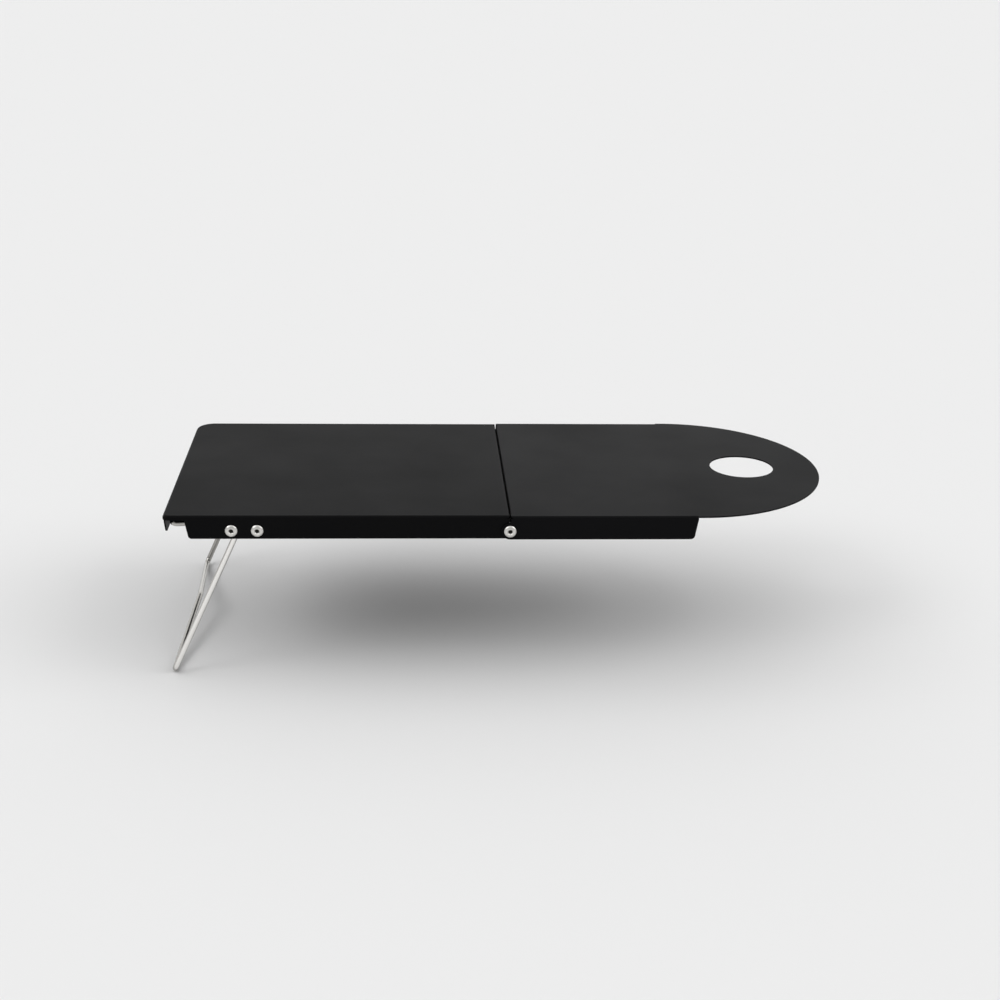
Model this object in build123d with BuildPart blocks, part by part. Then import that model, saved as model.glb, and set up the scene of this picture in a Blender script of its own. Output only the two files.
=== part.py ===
from build123d import *
import os
from math import cos, radians, sin

# Camp kitchen table: two folding sheet-metal leaves on one bent-wire leg. The round end of the
# right leaf rests round the valve of a screw-top gas canister. Millimetres, +Z up, z = 0 is the
# ground, x = 0 the joint between the leaves, y = 0 the middle of the width. The front is -Y.

os.makedirs("parts", exist_ok=True)

# ---- driving dimensions ----
top_z = 88.5                # height of the top surface
sheet = 0.8                 # thickness of the sheet steel
bend_radius = 1.4           # outer radius of the pressed edges
lip_strip = 2.3             # depth of the turned edge where no flange hangs from it
edge_round = 0.2            # cut edges of the round end and the hole
leaf_length = 173.7         # each leaf, from the joint line to its far end
left_width = 150.0          # over the flanges of the left leaf
flange_gap = 0.15           # play between the flanges that overlap at the pivots
right_width = left_width + 2 * (sheet + flange_gap)
left_depth = 12.1           # flange depth below the top surface
right_depth = 12.3
flange_lap = 0.8            # overlap of each flange with the turned edge above it
rear_corner = 10.0          # plan radii of the left leaf's far corners
front_corner = 3.0
left_flange_end = 162.9     # end of each flange, from the joint line
right_flange_end = 95.6
hole_x = 132.3              # canister hole
hole_radius = 17.35

joint_gap = 0.4             # slot between the two leaves
joint_bend = 1.5            # outer radius of the edges turned down at the joint
joint_lip = 7.2             # their depth, which ends above the leaf pivots
joint_lip_half = 72.3       # half their width
corner_step = 0.15          # the flanges' setback from the joint edges
corner_relief = 2.4         # rounded relief at each end of the joint
relief_width = 1.9

leaf_axis_drop = 8.0        # pivot axes below the top surface
leg_axis_drop = 7.85
leg_x = -139.7              # rivets that carry both legs
detent_x = -126.8           # rivets over which the long leg clicks as it folds

wire_radius = 1.5
long_angle = 245.6          # arm of the open long leg, from +X towards +Z
long_reach = 86.14          # from the eye to the nominal corner of the foot
long_rise = 12.5            # raised middle of the crossbar
short_angle = 183.3         # arm of the stowed short leg
short_reach = 30.2
short_rise = 5.0
foot_bend = 3.5             # radii of the wire's bends
middle_bend = 7.0
eye_wrap = 262.0            # degrees of wire round each pivot

shank_radius = 1.6          # semi-tubular rivet of 3.2 mm
bore_radius = 0.98          # dimple in the head and hole in the tail
dimple_depth = 0.9
tail_hole = 0.4             # beyond the gripped sheet
head_radius = 3.1
head_height = 1.0
roll_radius = 2.6           # rolled tail
roll_height = 0.8
rivet_play = 0.02
eye_play = 0.05
side_play = 0.15            # sideways play beside each wire eye
washer_radius = 3.4
washer_thickness = 0.5
washer_chamfer = 0.12
spacer_thickness = 0.8      # keeps the long leg clear of the detent rivet's tail

# ---- values worked out from them ----
under_z = top_z - sheet
strip_z = top_z - lip_strip
flange_root_z = strip_z + flange_lap
leaf_axis_z = top_z - leaf_axis_drop
leg_axis_z = top_z - leg_axis_drop
left_bottom_z = top_z - left_depth
right_bottom_z = top_z - right_depth
left_half = left_width / 2
right_half = right_width / 2
inner_half = left_half - sheet
near_x = joint_gap / 2
corner_x = near_x + corner_step
round_centre = leaf_length - right_half
eye_radius = shank_radius + eye_play + wire_radius
long_leg_y = inner_half - roll_height - side_play - wire_radius
short_leg_y = long_leg_y - 2 * wire_radius - side_play
leg_washer_y = short_leg_y - wire_radius - side_play
leaf_washer_y = inner_half - eye_play
spacer_y = inner_half - eye_play
sides = {"front": -1, "rear": 1}


def save(piece, name):
    piece.part.label = name
    export_step(piece.part, f"parts/{name}.step")


def leaf_form(inset, low_z, high_z):
    """The left leaf's outline as a block with a rounded rim, inset on the three sides off the joint."""
    with BuildPart() as form:
        with BuildSketch(Plane.XY.offset(low_z)):
            with Locations(((inset - leaf_length) / 2, 0)):
                Rectangle(leaf_length - inset, left_width - 2 * inset)
            fillet(vertices().group_by(Axis.Y)[0].sort_by(Axis.X)[0], front_corner - inset)
            fillet(vertices().group_by(Axis.Y)[-1].sort_by(Axis.X)[0], rear_corner - inset)
        extrude(amount=high_z - low_z)
        fillet(faces().sort_by(Axis.Z)[-1].edges().sort_by(Axis.X)[:-1], bend_radius - inset)
    return form.part


def turned_edge(plane, corner, direction, radius, depth, length, both=False):
    """Sheet bent down along an edge. corner is its outer face; direction points back along the sheet."""
    slant = cos(radians(45))
    centre, centre_z, inner_radius = corner + direction * radius, top_z - radius, radius - sheet
    outer = [
        (centre, top_z),
        (centre - direction * radius * slant, centre_z + radius * slant),
        (corner, centre_z),
    ]
    inner = [
        (corner + direction * sheet, centre_z),
        (centre - direction * inner_radius * slant, centre_z + inner_radius * slant),
        (centre, under_z),
    ]
    with BuildPart() as edge:
        with BuildSketch(plane):
            with BuildLine():
                ThreePointArc(*outer)
                Polyline(
                    outer[2], (corner, top_z - depth), (corner + direction * sheet, top_z - depth), inner[0]
                )
                ThreePointArc(*inner)
                Line(inner[2], outer[0])
            make_face()
        extrude(amount=length, both=both)
    return edge.part


def joint_trim(half_width):
    """The slot between the leaves, opened out for the joint's turned edges and rounded at its ends."""
    with BuildPart() as cut:
        with BuildSketch(Plane.XY.offset(strip_z)):
            Rectangle(2 * (near_x + joint_bend), 2 * joint_lip_half)
            Rectangle(2 * corner_x, 2 * half_width)
            for side in sides.values():
                roots = [(d * corner_x, side * (half_width - corner_relief)) for d in (-1, 1)]
                tips = [(d * (corner_x + relief_width), side * half_width) for d in (-1, 1)]
                with BuildLine():
                    for d, root, tip in zip((-1, 1), roots, tips):
                        middle_x = d * (corner_x + 0.15 * relief_width)
                        ThreePointArc(root, (middle_x, side * (half_width - 0.4 * corner_relief)), tip)
                    Line(*tips)
                    Line(*roots)
                make_face()
        extrude(amount=lip_strip)
    return cut.part


def flange(points, corner_radius, ear_radius, half_width):
    """One pair of side flanges: an outline in the XZ plane with a round ear at the leaf pivot."""
    with BuildPart() as pair:
        with BuildSketch(Plane.XZ):
            with BuildLine():
                Polyline(*points, close=True)
            make_face()
            fillet(vertices().sort_by_distance(points[1])[0], corner_radius)
            with Locations((0, leaf_axis_z)):
                Circle(ear_radius)
        extrude(amount=half_width, both=True)
        with Locations((0, 0, right_bottom_z)):
            Box(3 * leaf_length, 2 * (half_width - sheet), 3 * right_depth, mode=Mode.SUBTRACT)
    return pair.part


def cross_hole(x, z, radius):
    """A hole across both flanges."""
    with BuildPart() as hole:
        with BuildSketch(Plane.XZ):
            with Locations((x, z)):
                Circle(radius)
        extrude(amount=right_width, both=True)
    return hole.part


# ---- left leaf: plate with turned edges, two side flanges and an end lip ----
left_flange_outline = [
    (-left_flange_end, flange_root_z),
    (-left_flange_end + 2.0, left_bottom_z),
    (0, left_bottom_z),
    (0, leaf_axis_z),
    (-corner_x, leaf_axis_z),
    (-corner_x, flange_root_z),
]

with BuildPart() as end_lip:
    lip_front = [(-left_half + 9.8, left_bottom_z), (-left_half + front_corner + 0.5, flange_root_z)]
    lip_rear = [(left_half - rear_corner - 0.5, flange_root_z), (left_half - 14.5, left_bottom_z)]
    with BuildSketch(Plane.YZ.offset(-leaf_length)):
        with BuildLine():
            Polyline(*lip_front, *lip_rear, close=True)
        make_face()
        fillet(vertices().group_by(Axis.Z)[0], 3.0)
    extrude(amount=sheet)

with BuildPart() as left_leaf:
    add(leaf_form(0, strip_z, top_z))
    add(leaf_form(sheet, strip_z, under_z), mode=Mode.SUBTRACT)
    add(joint_trim(left_half), mode=Mode.SUBTRACT)
    add(turned_edge(Plane.XZ, -near_x, -1, joint_bend, joint_lip, joint_lip_half, both=True))
    add(flange(left_flange_outline, 1.8, left_depth - leaf_axis_drop, left_half))
    add(end_lip.part)
    add(cross_hole(0, leaf_axis_z, shank_radius + rivet_play), mode=Mode.SUBTRACT)
    for x in (leg_x, detent_x):
        add(cross_hole(x, leg_axis_z, shank_radius + rivet_play), mode=Mode.SUBTRACT)
save(left_leaf, "left_leaf")

# ---- right leaf: round-ended plate with a canister hole and two side flanges ----
right_flange_outline = [
    (right_flange_end, flange_root_z),
    (right_flange_end - 1.7, right_bottom_z),
    (0, right_bottom_z),
    (0, leaf_axis_z),
    (corner_x, leaf_axis_z),
    (corner_x, flange_root_z),
]

with BuildPart() as right_leaf:
    with BuildSketch(Plane.XY.offset(under_z)):
        with Locations((round_centre, 0)):
            Circle(right_half)
        with Locations(((near_x + round_centre) / 2, 0)):
            Rectangle(round_centre - near_x, right_width)
        for side in sides.values():
            with Locations((right_flange_end / 2, side * right_half)):
                Rectangle(right_flange_end, 2 * bend_radius, mode=Mode.SUBTRACT)
        with Locations((hole_x, 0)):
            Circle(hole_radius, mode=Mode.SUBTRACT)
    extrude(amount=sheet)
    fillet(edges().filter_by(GeomType.CIRCLE), edge_round)
    for side in sides.values():
        side_plane = Plane.YZ.offset(near_x)
        side_length = right_flange_end - near_x
        add(turned_edge(side_plane, side * right_half, -side, bend_radius, lip_strip, side_length))
    add(joint_trim(right_half), mode=Mode.SUBTRACT)
    add(turned_edge(Plane.XZ, near_x, 1, joint_bend, joint_lip, joint_lip_half, both=True))
    add(flange(right_flange_outline, 2.2, right_depth - leaf_axis_drop, right_half))
    add(cross_hole(0, leaf_axis_z, shank_radius + eye_play), mode=Mode.SUBTRACT)
save(right_leaf, "right_leaf")


# ---- bent wire legs, which turn on the same pair of rivets ----
def leg_point(angle, distance, y):
    """A point in the plane y, from the leg pivot, at an angle from +X towards +Z."""
    turn = radians(angle)
    return Vector(leg_x + distance * cos(turn), y, leg_axis_z + distance * sin(turn))


def wire_leg(arm_angle, turn, half_span, reach, rise):
    """A U of wire with an eye at each end, whose crossbar rises towards the eyes in the middle.

    turn is +1 where the eyes wrap anticlockwise seen from the front.
    """
    eye_start = arm_angle + turn * 90
    heading = Vector(cos(radians(arm_angle)), 0, sin(radians(arm_angle)))
    touch = {name: leg_point(eye_start, eye_radius, side * half_span) for name, side in sides.items()}
    foot = {name: point + heading * reach for name, point in touch.items()}
    middle = (foot["front"] + foot["rear"]) / 2 - heading * rise
    with BuildPart() as leg:
        with BuildLine() as centre_line:
            for name, side in sides.items():
                half_way = leg_point(eye_start + turn * eye_wrap / 2, eye_radius, side * half_span)
                end = leg_point(eye_start + turn * eye_wrap, eye_radius, side * half_span)
                ThreePointArc(end, half_way, touch[name])
            run = [touch["front"], foot["front"], middle, foot["rear"], touch["rear"]]
            FilletPolyline(*run, radius=[foot_bend, middle_bend, foot_bend])
        path = centre_line.wires()[0]
        with BuildSketch(Plane(origin=path @ 0, z_dir=path % 0)):
            Circle(wire_radius)
        sweep(path=path)
    return leg


save(wire_leg(long_angle, 1, long_leg_y, long_reach, long_rise), "long_leg_wire")
save(wire_leg(short_angle, -1, short_leg_y, short_reach, short_rise), "short_leg_wire")


# ---- semi-tubular rivets with a dimpled, domed head outside and a rolled tail inside ----
def across(x, z, y, side):
    """A plane whose z axis points outwards, with its x axis along the table."""
    return Plane(origin=(x, side * y, z), x_dir=(1, 0, 0), z_dir=(0, side, 0))


def tubular_rivet(plane, grip):
    dimple_floor, hole_floor = head_height - dimple_depth, tail_hole - grip
    with BuildPart() as rivet:
        with BuildSketch(Plane(origin=plane.origin, x_dir=plane.x_dir, z_dir=-plane.y_dir)):
            with BuildLine():
                ThreePointArc((1.35, head_height), (2.45, 0.74), (head_radius, 0.2))
                Polyline(
                    (head_radius, 0.2), (head_radius, 0), (shank_radius, 0), (shank_radius, -grip),
                    (roll_radius, -grip),
                )
                ThreePointArc((roll_radius, -grip), (1.9, -grip - roll_height), (bore_radius, -grip - 0.3))
                Polyline(
                    (bore_radius, -grip - 0.3), (bore_radius, hole_floor), (0, hole_floor), (0, dimple_floor),
                    (bore_radius, dimple_floor), (bore_radius, 0.6), (1.35, head_height),
                )
            make_face()
        revolve(axis=Axis(plane.origin, plane.z_dir))
    return rivet


def ring(plane, thickness):
    """A washer or a spacer on a rivet's shank."""
    with BuildPart() as piece:
        with BuildSketch(plane):
            Circle(washer_radius)
            Circle(shank_radius + rivet_play, mode=Mode.SUBTRACT)
        extrude(amount=thickness)
        chamfer(edges().filter_by(GeomType.CIRCLE).group_by(SortBy.RADIUS)[-1], washer_chamfer)
    return piece


# each rivet's axis, the outer face under its head and the inner face under its tail
rivets = {
    "leaf_pivot": (0, leaf_axis_z, right_half + eye_play, leaf_washer_y - washer_thickness),
    "leg_pivot": (leg_x, leg_axis_z, left_half, leg_washer_y - washer_thickness),
    "detent": (detent_x, leg_axis_z, left_half, inner_half),
}
rings = {
    "leaf_pivot_washer": (0, leaf_axis_z, leaf_washer_y, washer_thickness),
    "leg_pivot_washer": (leg_x, leg_axis_z, leg_washer_y, washer_thickness),
    "leg_pivot_spacer": (leg_x, leg_axis_z, spacer_y, spacer_thickness),
}
for side_name, side in sides.items():
    for rivet_name, (x, z, head_y, tail_y) in rivets.items():
        save(tubular_rivet(across(x, z, head_y, side), head_y - tail_y), f"{rivet_name}_rivet_{side_name}")
    for ring_name, (x, z, face_y, thickness) in rings.items():
        save(ring(across(x, z, face_y - thickness, side), thickness), f"{ring_name}_{side_name}")
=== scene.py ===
from math import radians

import bmesh
import bpy
from mathutils import Matrix, Vector


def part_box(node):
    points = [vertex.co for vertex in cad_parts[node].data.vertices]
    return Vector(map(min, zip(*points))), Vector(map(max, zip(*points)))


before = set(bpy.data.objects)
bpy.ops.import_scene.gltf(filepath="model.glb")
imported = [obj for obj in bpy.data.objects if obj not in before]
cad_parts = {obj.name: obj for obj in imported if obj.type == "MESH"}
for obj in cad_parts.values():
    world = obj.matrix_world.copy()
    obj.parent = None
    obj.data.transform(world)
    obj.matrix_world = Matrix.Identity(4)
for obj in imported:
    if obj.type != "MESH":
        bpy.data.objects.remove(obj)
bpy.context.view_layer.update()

# Folding camp table: two black powder-coated sheet-steel leaves on one bright bent-wire leg.
# Metres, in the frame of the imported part: X along the table, the front is -Y, the ground is z = 0.

MM = 0.001
BLEND_COLOUR = {"data_type": "RGBA"}
BLEND_VECTOR = {"data_type": "VECTOR"}
SMOOTH = {"interpolation_type": "SMOOTHSTEP"}
ALONG = 60.0             # how far die lines are drawn out along the wire
BAR_END = 62 * MM        # from the middle of the table, where the long leg's crossbar turns into its arms
ARM_START = 66 * MM
PAINTED_HIGHLIGHT_START = 72.4 * MM  # outer side of the long leg's arms, where a highlight is painted along them
PAINTED_HIGHLIGHT_FULL = 73.1 * MM
RECESS_SHADE_EDGE = 0.92 * MM  # from a rivet's axis, where the shade painted into the recess of its head ends
RECESS_SHADE_RIM = 1.12 * MM


# ---- helpers ----
def srgb(code):
    """An sRGB hex colour as linear RGBA."""
    values = [int(code[i:i + 2], 16) / 255 for i in (1, 3, 5)]
    return (*[v / 12.92 if v <= 0.04045 else ((v + 0.055) / 1.055) ** 2.4 for v in values], 1.0)


def add_node(tree, kind, settings=None, **inputs):
    """Adds a node. settings are its properties; inputs are values, or sockets to link from."""
    node = tree.nodes.new(kind)
    for name, value in (settings or {}).items():
        setattr(node, name, value)
    for name, value in inputs.items():
        socket = node.inputs[int(name[1:])] if name[1:].isdigit() else node.inputs[name.replace("_", " ")]
        if isinstance(value, bpy.types.NodeSocket):
            tree.links.new(value, socket)
        else:
            socket.default_value = value
    return node


def new_material(name):
    """A node material with an empty tree, and the tree."""
    material = bpy.data.materials.new(name)
    material.use_nodes = True
    material.node_tree.nodes.clear()
    return material, material.node_tree


def per_metre(size_mm):
    """Noise scale whose features are about size_mm across."""
    return 1 / (size_mm * MM)


# ---- materials ----
def powder_coat(name, dark, light, shine):
    """Black polyester powder coat on pressed steel: matt, with a fine even grain and faint orange peel.

    The grain of the real coat is about 0.2 mm. It is drawn at 0.55 mm, since finer would not show.
    """
    material, tree = new_material(name)
    place = add_node(tree, "ShaderNodeTexCoord").outputs["Object"]
    grain = add_node(
        tree, "ShaderNodeTexNoise", Vector=place, Scale=per_metre(0.55), Detail=2.0, Roughness=0.55
    )
    peel = add_node(
        tree, "ShaderNodeTexNoise", Vector=place, Scale=per_metre(3.2), Detail=1.0, Roughness=0.4
    )
    cloud = add_node(
        tree, "ShaderNodeTexNoise", Vector=place, Scale=per_metre(55.0), Detail=3.0, Roughness=0.5
    )
    tone = add_node(
        tree, "ShaderNodeMapRange", Value=grain.outputs["Fac"],
        From_Min=0.3, From_Max=0.7, To_Min=0.0, To_Max=1.0,
    )
    colour = add_node(
        tree, "ShaderNodeMix", BLEND_COLOUR, _0=tone.outputs["Result"], _6=srgb(dark), _7=srgb(light)
    )
    rough = add_node(
        tree, "ShaderNodeMapRange", Value=cloud.outputs["Fac"],
        From_Min=0.25, From_Max=0.75, To_Min=0.46, To_Max=0.54,
    )
    height = add_node(
        tree, "ShaderNodeMath", {"operation": "MULTIPLY_ADD"},
        _0=peel.outputs["Fac"], _1=2.5, _2=grain.outputs["Fac"],
    )
    bump = add_node(
        tree, "ShaderNodeBump", Strength=0.35, Distance=0.012 * MM, Height=height.outputs["Value"]
    )
    shader = add_node(
        tree, "ShaderNodeBsdfPrincipled", Base_Color=colour.outputs[2], Roughness=rough.outputs["Result"],
        Normal=bump.outputs["Normal"], IOR=1.5, Specular_IOR_Level=shine,
    )
    add_node(tree, "ShaderNodeOutputMaterial", Surface=shader.outputs["BSDF"])
    return material


def drawn_wire(name, arm_angle):
    """Bright drawn stainless wire: faint die lines along it, and a painted highlight along the outer side
    of its arms.

    Die lines are some hundredths of a millimetre apart. They are drawn at 0.25 mm, since finer would
    not show.
    """
    material, tree = new_material(name)
    place = add_node(tree, "ShaderNodeTexCoord").outputs["Object"]
    along_arm = add_node(
        tree, "ShaderNodeMapping", {"vector_type": "TEXTURE"}, Vector=place,
        Rotation=(0.0, radians(arm_angle), 0.0), Scale=(ALONG, 1.0, 1.0),
    )
    along_bar = add_node(
        tree, "ShaderNodeMapping", {"vector_type": "TEXTURE"}, Vector=place, Scale=(1.0, ALONG, 1.0)
    )
    width = add_node(tree, "ShaderNodeSeparateXYZ", Vector=place)
    outward = add_node(tree, "ShaderNodeMath", {"operation": "ABSOLUTE"}, _0=width.outputs["Y"])
    on_arm = add_node(
        tree, "ShaderNodeMapRange", Value=outward.outputs["Value"],
        From_Min=BAR_END, From_Max=ARM_START, To_Min=0.0, To_Max=1.0,
    )
    lines_place = add_node(
        tree, "ShaderNodeMix", BLEND_VECTOR, _0=on_arm.outputs["Result"],
        _4=along_bar.outputs["Vector"], _5=along_arm.outputs["Vector"],
    )
    lines = add_node(
        tree, "ShaderNodeTexNoise", Vector=lines_place.outputs[1], Scale=per_metre(0.25), Detail=3.0,
        Roughness=0.6,
    )
    stain = add_node(
        tree, "ShaderNodeTexNoise", Vector=place, Scale=per_metre(9.0), Detail=2.0, Roughness=0.5
    )
    colour = add_node(
        tree, "ShaderNodeMix", BLEND_COLOUR, _0=stain.outputs["Fac"],
        _6=srgb("#a9a7a3"), _7=srgb("#bab8b4"),
    )
    # painted highlight: the outer side of the arms is coloured near-white, standing in for the highlight
    # the light lays along them
    painted_highlight_mask = add_node(
        tree, "ShaderNodeMapRange", SMOOTH, Value=outward.outputs["Value"],
        From_Min=PAINTED_HIGHLIGHT_START, From_Max=PAINTED_HIGHLIGHT_FULL, To_Min=0.0, To_Max=1.0,
    )
    painted_highlight = add_node(
        tree, "ShaderNodeMix", BLEND_COLOUR, _0=painted_highlight_mask.outputs["Result"],
        _6=colour.outputs[2], _7=srgb("#f6f4f1"),
    )
    rough = add_node(
        tree, "ShaderNodeMapRange", Value=lines.outputs["Fac"],
        From_Min=0.3, From_Max=0.7, To_Min=0.12, To_Max=0.2,
    )
    bump = add_node(tree, "ShaderNodeBump", Strength=0.25, Distance=0.004 * MM, Height=lines.outputs["Fac"])
    shader = add_node(
        tree, "ShaderNodeBsdfPrincipled", Base_Color=painted_highlight.outputs[2], Metallic=1.0,
        Roughness=rough.outputs["Result"], Normal=bump.outputs["Normal"],
    )
    add_node(tree, "ShaderNodeOutputMaterial", Surface=shader.outputs["BSDF"])
    return material


def upset_steel(name, dark, light, rough_low, rough_high, ring_mm, axes):
    """Bright plated steel pressed to shape: faint rings left by the tool, and painted shade in the recess
    at its axis.
    """
    material, tree = new_material(name)
    place = add_node(tree, "ShaderNodeTexCoord").outputs["Object"]
    flat = add_node(
        tree, "ShaderNodeVectorMath", {"operation": "MULTIPLY"}, _0=place, _1=(1.0, 0.0, 1.0)
    )
    nearest = None
    for axis in axes:
        reach = add_node(
            tree, "ShaderNodeVectorMath", {"operation": "DISTANCE"}, _0=flat.outputs["Vector"], _1=axis
        ).outputs["Value"]
        if nearest is None:
            nearest = reach
        else:
            nearest = add_node(
                tree, "ShaderNodeMath", {"operation": "MINIMUM"}, _0=nearest, _1=reach
            ).outputs["Value"]
    rings = add_node(
        tree, "ShaderNodeTexNoise", {"noise_dimensions": "1D"}, W=nearest, Scale=per_metre(ring_mm),
        Detail=2.0, Roughness=0.5,
    )
    specks = add_node(
        tree, "ShaderNodeTexNoise", Vector=place, Scale=per_metre(0.6), Detail=3.0, Roughness=0.6
    )
    colour = add_node(
        tree, "ShaderNodeMix", BLEND_COLOUR, _0=specks.outputs["Fac"], _6=srgb(dark), _7=srgb(light)
    )
    # painted shade: near the axis the head is coloured near-black, standing in for the shade inside its
    # central recess
    painted_recess_shade = add_node(
        tree, "ShaderNodeMapRange", Value=nearest,
        From_Min=RECESS_SHADE_EDGE, From_Max=RECESS_SHADE_RIM, To_Min=1.0, To_Max=0.0,
    )
    colour_with_painted_shade = add_node(
        tree, "ShaderNodeMix", BLEND_COLOUR, _0=painted_recess_shade.outputs["Result"],
        _6=colour.outputs[2], _7=srgb("#2a2927"),
    )
    rough = add_node(
        tree, "ShaderNodeMapRange", Value=specks.outputs["Fac"],
        From_Min=0.3, From_Max=0.7, To_Min=rough_low, To_Max=rough_high,
    )
    bump = add_node(tree, "ShaderNodeBump", Strength=0.3, Distance=0.01 * MM, Height=rings.outputs["Fac"])
    shader = add_node(
        tree, "ShaderNodeBsdfPrincipled", Base_Color=colour_with_painted_shade.outputs[2], Metallic=1.0,
        Roughness=rough.outputs["Result"], Normal=bump.outputs["Normal"],
    )
    add_node(tree, "ShaderNodeOutputMaterial", Surface=shader.outputs["BSDF"])
    return material


def axis_of(rivet):
    """A point on a rivet's axis, in the middle of the table's width."""
    low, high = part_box(rivet)
    centre = (low + high) / 2
    return (centre.x, 0.0, centre.z)


rivet_axes = [axis_of(f"{pivot}_rivet_front") for pivot in ("leaf_pivot", "leg_pivot", "detent")]
finishes = {
    # Both leaves wear one coat. The right leaf's copy is a shade lighter and has a little more sheen:
    # painted light, for the brighter look the light gives that leaf.
    "left_leaf": powder_coat("black_powder_coat_left", "#070708", "#0b0b0c", shine=0.05),
    "right_leaf": powder_coat("black_powder_coat_right_painted_lighter", "#08080a", "#0c0c0d", shine=0.058),
    "long_leg_wire": drawn_wire("bright_drawn_stainless_wire_long", arm_angle=65.6),
    "short_leg_wire": drawn_wire("bright_drawn_stainless_wire_short", arm_angle=3.3),
    "rivet": upset_steel(
        "nickel_plated_rivet_steel", "#cfcdc8", "#e6e5e2",
        rough_low=0.3, rough_high=0.42, ring_mm=0.16, axes=rivet_axes,
    ),
    "washer": upset_steel(
        "zinc_plated_washer_steel", "#a8a9a9", "#c4c5c5",
        rough_low=0.3, rough_high=0.42, ring_mm=0.2, axes=rivet_axes,
    ),
    "spacer": upset_steel(
        "zinc_plated_spacer_steel", "#9c9d9e", "#b6b7b7",
        rough_low=0.34, rough_high=0.46, ring_mm=0.22, axes=rivet_axes,
    ),
}

for name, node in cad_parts.items():
    finish = finishes.get(name) or finishes[name.split("_")[-2]]
    for material_slot in node.material_slots:
        material_slot.material = finish

# ---- floor ----
floor_mesh = bpy.data.meshes.new("studio_floor")
shape = bmesh.new()
bmesh.ops.create_grid(shape, x_segments=1, y_segments=1, size=15.0)
shape.to_mesh(floor_mesh)
shape.free()
floor = bpy.data.objects.new("studio_floor", floor_mesh)
bpy.context.scene.collection.objects.link(floor)
paper, tree = new_material("pale_studio_paper")
shader = add_node(
    tree, "ShaderNodeBsdfPrincipled", Base_Color=srgb("#e3e3e3"), Roughness=0.9, Specular_IOR_Level=0.0
)
add_node(tree, "ShaderNodeOutputMaterial", Surface=shader.outputs["BSDF"])
floor_mesh.materials.append(paper)

# ---- light: a long panel overhead, stronger towards its ends, in a dome that is brighter at the back ----
# places and sizes on the panel are in units of its height above the table
panel_x, panel_y = 0.3, -0.27
panel_level, panel_end_level = 0.42, 1.6
dome_level, dome_back_level = 0.44, 1.08

world = bpy.data.worlds.new("studio")
bpy.context.scene.world = world
world.use_nodes = True
world.node_tree.nodes.clear()
tree = world.node_tree
view = add_node(tree, "ShaderNodeTexCoord").outputs["Generated"]
sky = add_node(tree, "ShaderNodeSeparateXYZ", Vector=view)


def off_centre(axis, centre):
    """How far a ray passes beside the panel's centre along one axis."""
    slope = add_node(
        tree, "ShaderNodeMath", {"operation": "DIVIDE"}, _0=sky.outputs[axis], _1=sky.outputs["Z"]
    )
    offset = add_node(
        tree, "ShaderNodeMath", {"operation": "SUBTRACT"}, _0=slope.outputs["Value"], _1=centre
    )
    distance = add_node(tree, "ShaderNodeMath", {"operation": "ABSOLUTE"}, _0=offset.outputs["Value"])
    return distance.outputs["Value"]


sideways, lengthways = off_centre("Y", panel_y), off_centre("X", panel_x)
inside_width = add_node(
    tree, "ShaderNodeMapRange", SMOOTH, Value=sideways, From_Min=0.65, From_Max=1.05, To_Min=1.0, To_Max=0.0
)
inside_length = add_node(
    tree, "ShaderNodeMapRange", SMOOTH, Value=lengthways, From_Min=1.6, From_Max=2.2, To_Min=1.0, To_Max=0.0
)
inside = add_node(
    tree, "ShaderNodeMath", {"operation": "MULTIPLY"},
    _0=inside_width.outputs["Result"], _1=inside_length.outputs["Result"],
)
panel = add_node(
    tree, "ShaderNodeMapRange", SMOOTH, Value=lengthways,
    From_Min=0.7, From_Max=1.3, To_Min=panel_level, To_Max=panel_end_level,
)
dome = add_node(
    tree, "ShaderNodeMapRange", SMOOTH, Value=sky.outputs["Y"],
    From_Min=0.2, From_Max=0.95, To_Min=dome_level, To_Max=dome_back_level,
)
level = add_node(
    tree, "ShaderNodeMath", {"operation": "MULTIPLY_ADD"}, _0=inside.outputs["Value"],
    _1=panel.outputs["Result"], _2=dome.outputs["Result"],
)
background = add_node(
    tree, "ShaderNodeBackground", Color=(1.0, 1.0, 1.0, 1.0), Strength=level.outputs["Value"]
)
add_node(tree, "ShaderNodeOutputWorld", Surface=background.outputs["Background"])


def soft_sun(name, direction, strength, spread):
    """A broad distant lamp. direction points from the table towards it."""
    lamp = bpy.data.lights.new(name, "SUN")
    lamp.energy = strength
    lamp.angle = radians(spread)
    holder = bpy.data.objects.new(name, lamp)
    holder.rotation_mode = "QUATERNION"
    holder.rotation_quaternion = Vector(direction).to_track_quat("Z", "Y")
    bpy.context.scene.collection.objects.link(holder)


soft_sun("left_softbox", (-1.0, -0.6, 0.95), 0.35, 25.0)
soft_sun("right_softbox", (1.0, -0.2, 0.85), 0.6, 40.0)

# ---- camera: in front of the table, a little to its left and above it ----
camera_place = (-0.05169, -0.80684, 0.37587)
yaw, pitch, roll = radians(3.611), radians(20.808), radians(1.284)
camera = bpy.data.objects.new("camera", bpy.data.cameras.new("camera"))
camera.data.lens = 56.4
camera.data.sensor_width = 36.0
camera.matrix_world = (
    Matrix.Translation(camera_place)
    @ Matrix.Rotation(-yaw, 4, "Z")
    @ Matrix.Rotation(radians(90) - pitch, 4, "X")
    @ Matrix.Rotation(roll, 4, "Z")
)
bpy.context.scene.collection.objects.link(camera)
bpy.context.scene.camera = camera
bpy.context.scene.view_settings.view_transform = "Standard"
